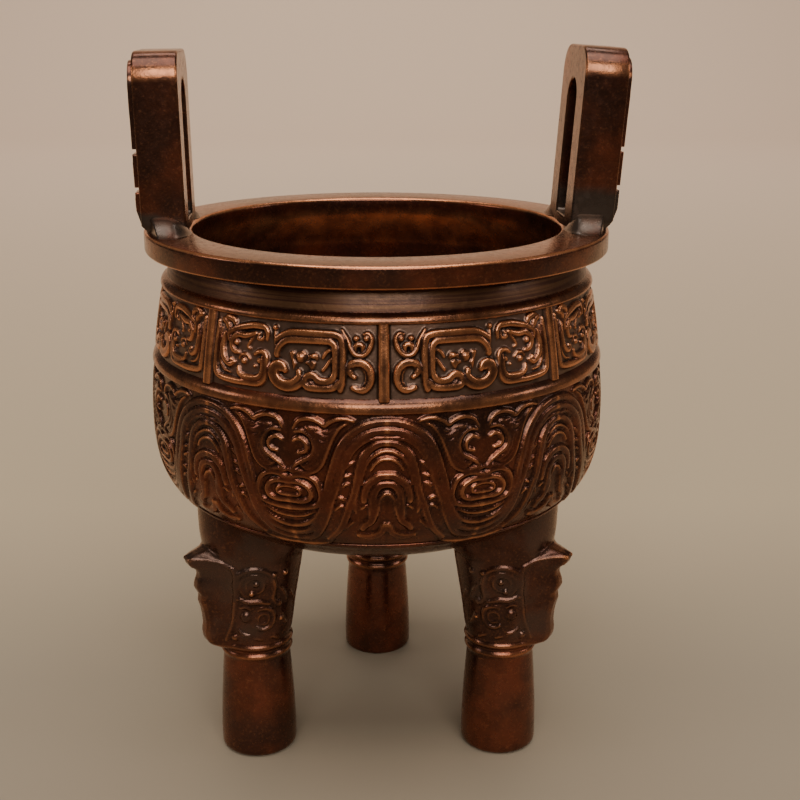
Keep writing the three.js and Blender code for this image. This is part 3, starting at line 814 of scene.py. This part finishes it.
def make_ear(name, facing, lean, drop, soot):
    height = EAR_HEIGHT - drop
    levels = [share * height for share in (0.045, 0.258, 0.471)]
    face = EAR_THICKNESS
    low, high = SLOT_HALF + PLATE_INSET / 2, EAR_WIDTH / 2 - PLATE_INSET
    outer, inner = slab_edges(height)
    shells = [plate(outer, inner, 0, face, (len(outer) - 1, 16), 0.35, closed=True)]
    outer, inner = arch_edges(height, levels[2])
    span = face - PLATE_SINK, face + PLATE_RISE
    shells.append(plate(outer, inner, *span, (120, 14), PLATE_BEVEL))
    for side in (-1, 1):
        for foot, top in zip(levels, levels[1:]):
            edges = [[(side * y, foot), (side * y, top - PLATE_GAP)] for y in (high, low)]
            shells.append(plate(*edges, *span, (20, 14), PLATE_BEVEL))
    whole, wear = bmesh.new(), []
    for shell in shells:
        wear += edge_wear(shell)
        loose = bpy.data.meshes.new("loose")
        shell.to_mesh(loose)
        whole.from_mesh(loose)
        shell.free()
        bpy.data.meshes.remove(loose)
    ear = finished(whole, name, crease=40)
    x, y, z = points_of(ear.data).T
    carved = x > face + PLATE_RISE - 0.05
    relief = np.where(carved, ear_sheet.read(ear_sheet.height, np.abs(y), z * EAR_HEIGHT / height), 0)
    x = np.where(carved, x - CARVING_RISE + relief, x)
    below = levels[0] + FOLD_HEIGHT - z
    folded = (below > 0) & (x > face + 0.1)
    x = np.where(folded, x - (PLATE_RISE - 0.15) * below / FOLD_HEIGHT, x)
    lean = math.radians(lean)
    out = x * math.cos(lean) + z * math.sin(lean) + MOUTH_RADIUS + EAR_SETBACK
    up = z * math.cos(lean) - x * math.sin(lean) + RIM_TOP
    keep = np.minimum(1, rim_reach(up) / np.hypot(out, y))
    move_points(ear.data, np.stack([*swung(out * keep, y * keep, facing + EAR_TURN), up], 1))
    corner = np.clip((z - height + 4.4) / 0.6, 0, 1) * np.clip((height - 1.7 - z) / 0.6, 0, 1)
    corner *= np.abs(y) > 7
    mark(ear.data, "relief", np.clip(0.45 * np.array(wear) + relief + 0.5 * corner, -1, 1))
    mark(ear.data, "solder", np.clip(1.2 - z / soot, 0, 1))
    return ear


EAR_SETBACK, EAR_TURN = 0.2, 2.7
pieces.append(make_ear("ear_right", facing=0, lean=3.6, drop=0, soot=8))
pieces.append(make_ear("ear_left", facing=180, lean=0.9, drop=0.8, soot=4))

# %% [markdown]
# ## Filler metal
# Filler was left where each ear was brazed to the rim, one mound in front of it and one behind. A ball is
# pressed into a low bell with a soft skirt, made uneven by a few waves of different length, and kept inside
# the rim's edge.

# %% Lumps
MOUND_RISE, MOUND_DEPTH, MOUND_WIDTH = 2.3, 4.1, 5.2
MOUND_MIDDLE, MOUND_LIMIT = 3.2, 34.7


def lump(name, facing, side, seed):
    bm = bmesh.new()
    bmesh.ops.create_icosphere(bm, subdivisions=5, radius=1.0)
    for vert in bm.verts:
        x, y, z = vert.co
        rough = sum(math.sin(seed * 1.7 * k + 2.1 * k * x + 1.3 * k * y * side) / k for k in (1, 2, 3))
        spread = min(1, math.sqrt(x**4 + y**2))
        swell = 0.5 + 0.5 * math.cos(math.pi * spread**1.25)
        out = MOUND_MIDDLE + MOUND_DEPTH * x + MOUTH_RADIUS + EAR_SETBACK
        across = side * EAR_WIDTH / 2 + MOUND_WIDTH * y * (1 + 0.05 * rough)
        up = RIM_TOP - 0.04 + (MOUND_RISE * swell * (1 + 0.06 * rough) if z > 0 else 0.5 * z)
        keep = min(1, MOUND_LIMIT / math.hypot(out, across))
        vert.co = Vector((*swung(out * keep, across * keep, facing + EAR_TURN), up)) * MM
    face_outwards(bm)
    made = finished(bm, name)
    mark(made.data, "solder", np.full(len(made.data.vertices), 0.9))
    return made


for number, (facing, side) in enumerate([(0, -1), (0, 1), (180, -1), (180, 1)]):
    pieces.append(lump(f"filler_{number + 1}", facing, side, seed=number + 1))

# %% [markdown]
# ## Worn edges of the bowl, and painted light inside
# The rim's corners and the tops of the ribs are rubbed bright. Much of the inner wall gets a little of the
# same copper as painted light, for the light that falls in through the mouth. Their vertices are found by
# height, and get the same kind of mark as the tops of the carving. The neck still shows the fine lines of
# the lathe, so it has a mark of its own.

# %% Bowl wear and painted inside light
x, y, z = points_of(bowl.data).T
radius = np.hypot(x, y)
upward = vectors_of(bowl.data, "normal")[:, 2]
on_rim = (z > RIM_UNDER - 0.2) & ((radius > RIM_RADIUS - 1) | (radius < MOUTH_RADIUS + 1))
rim_wear = np.where(on_rim, 4 * upward**2 * (1 - upward**2), 0)
rib_wear = np.zeros(len(z))
for low, high in (MIDDLE_RIB, SHOULDER_RIB):
    share = (z - low) / (high - low)
    line = 0.5 * np.sin(np.pi * np.clip(share, 0, 1)) + 0.5 * np.exp(-(((share - 0.12) / 0.12) ** 2))
    rib_wear += np.where((share > 0) & (share < 1) & (radius > ground(z) - 0.2), line, 0)
# painted light: the inner wall is lifted a little towards copper, for light falling in at the mouth
inside = (radius < ground(z) - 1) & (z > BOTTOM + 2) & (z < RIM_TOP - 1) & (radius < MOUTH_RADIUS + 2.5)
mark(bowl.data, "relief", np.clip(rim_wear + rib_wear + 0.35 * inside, 0, 1))
on_neck = (z > SHOULDER_TOP) & (z < RIM_UNDER) & (radius > ground(z) - 1.5)
mark(bowl.data, "turned", on_neck)

# %% [markdown]
# ## Patina
# The copper was darkened all over and then rubbed, so its colour follows the relief. Deep places are nearly
# black, plain surfaces are a warm red brown with cloudy patches, and worn tops show orange copper, as does a
# little of the inner wall, where it is painted light. The flat ground of the upper band is dull, and painted
# paler as a sheen. The neck is olive brown in fine lines, and filler metal is a dusky grey. A node group
# works out colour, roughness and a fine bump from the marks kept above, and the material adds the metal
# itself.

# %% Node helpers
def feed(tree, taker, inputs):
    """Gives each input of a node a value, or links it to another node's output."""
    for key, value in inputs.items():
        if isinstance(value, bpy.types.NodeSocket):
            tree.links.new(value, taker.inputs[key])
        else:
            taker.inputs[key].default_value = value
    return taker


def node(tree, kind, inputs=None, **settings):
    """A new shader node with its settings and inputs."""
    made = tree.nodes.new("ShaderNode" + kind)
    for key, value in settings.items():
        setattr(made, key, value)
    return feed(tree, made, inputs or {})


def mixed(tree, share, first, second):
    """Two colours mixed by a share."""
    return node(tree, "Mix", {0: share, 6: first, 7: second}, data_type="RGBA").outputs[2]


def ranged(tree, value, low, high, to_low=0.0, to_high=1.0):
    """A value's place between low and high, eased at both ends."""
    inputs = {"Value": value, "From Min": low, "From Max": high, "To Min": to_low, "To Max": to_high}
    return node(tree, "MapRange", inputs, interpolation_type="SMOOTHSTEP").outputs[0]


def noise(tree, place, scale, detail):
    """A cloudy pattern. The scale counts its patches in a metre."""
    inputs = {"Vector": place, "Scale": scale, "Detail": detail, "Roughness": 0.55}
    return node(tree, "TexNoise", inputs).outputs[0]


def combined(tree, operation, *terms):
    """Numbers or outputs brought together by one sum."""
    return node(tree, "Math", dict(enumerate(terms)), operation=operation).outputs[0]


# %% [markdown]
# The group takes the four marks, for relief, filler metal, dull ground and turned metal, and gives out a
# colour, a roughness and a normal. The relief mark also carries the painted light inside the bowl, and the
# dull ground mark a painted sheen. Its noises are cloudy patches, mottling, specks, grain and the lines of
# the lathe.

# %% Patina group
DARK = (0.012, 0.006, 0.004, 1)
BROWN = (0.070, 0.026, 0.016, 1)
RED = (0.175, 0.045, 0.020, 1)
COPPER = (0.64, 0.245, 0.10, 1)
GREY = (0.075, 0.053, 0.041, 1)
# painted sheen colour for the flat ground of the upper band
SHEEN_PALE = (0.19, 0.120, 0.083, 1)
OLIVE = (0.15, 0.070, 0.032, 1)

patina = bpy.data.node_groups.new("copper_patina", "ShaderNodeTree")
MARKS = ("Relief", "Solder", "Matte", "Turned")
for label in MARKS:
    patina.interface.new_socket(label, in_out="INPUT", socket_type="NodeSocketFloat")
for label, kind in (("Colour", "Color"), ("Roughness", "Float"), ("Normal", "Vector")):
    patina.interface.new_socket(label, in_out="OUTPUT", socket_type="NodeSocket" + kind)
taken = patina.nodes.new("NodeGroupInput").outputs
place = node(patina, "TexCoord").outputs["Object"]
clouds = noise(patina, place, scale=75, detail=4)
mottle = noise(patina, place, scale=330, detail=4)
specks = noise(patina, place, scale=900, detail=2)
grain = noise(patina, place, scale=2600, detail=2)
stretched = node(patina, "Mapping", {"Vector": place, "Scale": (40, 40, 2600)}).outputs[0]
turning = noise(patina, stretched, scale=1, detail=3)
cloudy = mixed(patina, ranged(patina, clouds, 0.40, 0.66), BROWN, RED)
dusky = mixed(patina, ranged(patina, mottle, 0.58, 0.38, 0.0, 0.28), cloudy, DARK)
plain = mixed(patina, ranged(patina, grain, 0.52, 0.75, 0.0, 0.16), dusky, COPPER)
olive = mixed(patina, ranged(patina, turning, 0.38, 0.62), BROWN, OLIVE)
lathed = mixed(patina, taken["Turned"], plain, olive)
# painted sheen: the upper band's flat ground is mixed towards a pale colour
ground_with_sheen = mixed(patina, taken["Matte"], lathed, SHEEN_PALE)
hollow = ranged(patina, taken["Relief"], -0.08, -1.0)
shaded = mixed(patina, hollow, ground_with_sheen, DARK)
rubbed = combined(patina, "MULTIPLY", taken["Relief"], ranged(patina, mottle, 0.3, 0.7, 0.7, 1.1))
worn = ranged(patina, rubbed, 0.12, 1.0)
copper = mixed(patina, worn, shaded, COPPER)
sooty = combined(patina, "MULTIPLY", taken["Solder"], ranged(patina, clouds, 0.35, 0.6, 0.5, 1.3))
colour = mixed(patina, ranged(patina, sooty, 0.35, 0.7), copper, GREY)
neck_dullness = combined(patina, "MULTIPLY", taken["Turned"], 0.7)
other_dullness = combined(patina, "MULTIPLY_ADD", taken["Solder"], 0.35, taken["Matte"])
dullness = combined(patina, "MAXIMUM", other_dullness, neck_dullness)
polish = ranged(patina, specks, 0.3, 0.75, 0.17, 0.30)
roughness = combined(patina, "MULTIPLY_ADD", dullness, 0.26, polish)
tooth = combined(patina, "MULTIPLY_ADD", taken["Turned"], turning, grain)
normal = node(patina, "Bump", {"Strength": 0.14, "Distance": 0.0002, "Height": tooth}).outputs[0]
result = {"Colour": colour, "Roughness": roughness, "Normal": normal}
feed(patina, patina.nodes.new("NodeGroupOutput"), result)
print("patina group:", len(patina.nodes), "nodes")

# %% [markdown]
# The material is one metal with a thin clear lacquer over it, which gives the pale glints.

# %% Material
metal = bpy.data.materials.new("patinated_copper")
metal.use_nodes = True
tree = metal.node_tree
marks = {
    label: node(tree, "Attribute", attribute_name=label.lower()).outputs["Fac"] for label in MARKS
}
skin = node(tree, "Group", marks, node_tree=patina).outputs
feed(tree, tree.nodes["Principled BSDF"], {
    "Base Color": skin["Colour"], "Roughness": skin["Roughness"], "Normal": skin["Normal"], "Metallic": 0.8,
    "Specular Tint": (1.0, 0.80, 0.66, 1), "Coat Weight": 0.27, "Coat Roughness": 0.22,
})

for piece in pieces:
    piece.data.materials.append(metal)
    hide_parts("ding_vessel")
    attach(piece, "root")
print(len(pieces), "pieces, all of one metal")

# %% [markdown]
# ## The table and the backdrop
# One pale sheet lies flat under the vessel and curves up far behind it. Its colour is graded from front to
# back as painted light and shade: a dark stretch far in front, which the vessel's sides reflect, and paler
# towards the back, which evens out the fall of the lamps' light across it.

# %% Backdrop
sweep_bm = bmesh.new()
bmesh.ops.create_grid(sweep_bm, x_segments=2, y_segments=80, size=1)
FLOOR_FRONT, FLOOR_BACK, CURVE, HALF_WIDTH = -1.2, 1.0, 0.5, 0.8
RISE = 1.5
flat = FLOOR_BACK - FLOOR_FRONT
bend = CURVE * math.pi / 2
total = flat + bend + RISE
for vert in sweep_bm.verts:
    distance = (vert.co.y + 1) / 2 * total
    angle = min(max(distance - flat, 0) / CURVE, math.pi / 2)
    vert.co = (
        vert.co.x * HALF_WIDTH,
        FLOOR_FRONT + min(distance, flat) + CURVE * math.sin(angle),
        CURVE * (1 - math.cos(angle)) + max(0, distance - flat - bend),
    )
backdrop = finished(sweep_bm, "backdrop")
paper = bpy.data.materials.new("pale_paper")
paper.use_nodes = True
tree = paper.node_tree
place = node(tree, "SeparateXYZ", {"Vector": node(tree, "TexCoord").outputs["Object"]}).outputs["Y"]
painted_light_ramp = node(tree, "ValToRGB", {0: ranged(tree, place, -0.3, 1.2)})
# painted light and shade: the paper runs from dark far in front to pale at the back
for number, (share, colour) in enumerate([
    (0.04, (0.12, 0.085, 0.050, 1)), (0.075, (0.27, 0.215, 0.150, 1)), (0.11, (0.29, 0.235, 0.165, 1)),
    (0.17, (0.44, 0.345, 0.225, 1)), (0.9, (0.80, 0.605, 0.445, 1)),
]):
    stop = painted_light_ramp.color_ramp.elements[number] if number < 2 else painted_light_ramp.color_ramp.elements.new(share)
    stop.position, stop.color = share, colour
feed(tree, tree.nodes["Principled BSDF"], {"Base Color": painted_light_ramp.outputs[0], "Roughness": 0.8})
backdrop.data.materials.append(paper)

# %% [markdown]
# ## Light
# A broad soft light hangs overhead, a little to the front, so the shadow lies right under the bowl. A
# second one lights the backdrop. A smaller one in front puts the bright bands on the ears' crowns and the
# glints on the carving, and two at the sides catch the ends of the bands. The room itself is dim.

# %% Lights
def soft_light(name, place, target, width, power, colour):
    light = bpy.data.lights.new(name, "AREA")
    light.shape = "RECTANGLE"
    light.size = width
    light.size_y = width * 0.7
    light.energy = power
    light.color = colour
    lamp = bpy.data.objects.new(name, light)
    lamp.location = place
    lamp.rotation_euler = (Vector(target) - Vector(place)).to_track_quat("-Z", "Y").to_euler()
    bpy.context.scene.collection.objects.link(lamp)


soft_light("ceiling", (0.0, -0.27, 1.25), (0, -0.05, 0), 1.25, 14, (1.0, 0.95, 0.90))
soft_light("backdrop_light", (0.0, 0.7, 1.2), (0, 1.4, 0.3), 0.9, 8, (1.0, 0.95, 0.90))
soft_light("front", (0.05, -0.8, 0.55), (0, 0, 0.07), 0.7, 5.5, (1.0, 0.94, 0.87))
for side in (-1, 1):
    soft_light(f"side_{side + 2}", (side * 1.0, -0.15, 0.42), (0, 0, 0.06), 0.35, 1.0, (1.0, 0.9, 0.85))
world = bpy.data.worlds.new("dim_room")
world.use_nodes = True
room = world.node_tree
feed(room, room.nodes["Background"], {"Color": (1.0, 0.93, 0.85, 1), "Strength": 0.06})
bpy.context.scene.world = world

# %% [markdown]
# ## Camera
# The camera was found by fitting the rim, the legs and the ears to the photo. It stands 20 cm in front of
# the vessel, a little above the ears, and looks down by nearly 17 degrees.

# %% Camera
FOCAL_PIXELS, IMAGE_PIXELS, SENSOR = 1284.13, 800, 36.0
PITCH_DOWN, YAW, ROLL = 16.853, 1.420, 0.142
CAMERA_PLACE = (-1.285, -198.202, 114.702)
lens = bpy.data.cameras.new("camera")
lens.sensor_width = SENSOR
lens.lens = FOCAL_PIXELS / IMAGE_PIXELS * SENSOR
lens.clip_start = 0.01
camera = bpy.data.objects.new("camera", lens)
aim = (
    Matrix.Rotation(math.radians(-YAW), 4, "Z")
    @ Matrix.Rotation(math.radians(90 - PITCH_DOWN), 4, "X")
    @ Matrix.Rotation(math.radians(ROLL), 4, "Z")
)
camera.matrix_world = Matrix.Translation(Vector(CAMERA_PLACE) * MM) @ aim
bpy.context.scene.collection.objects.link(camera)
bpy.context.scene.camera = camera
print("lens", round(lens.lens, 2), "mm")
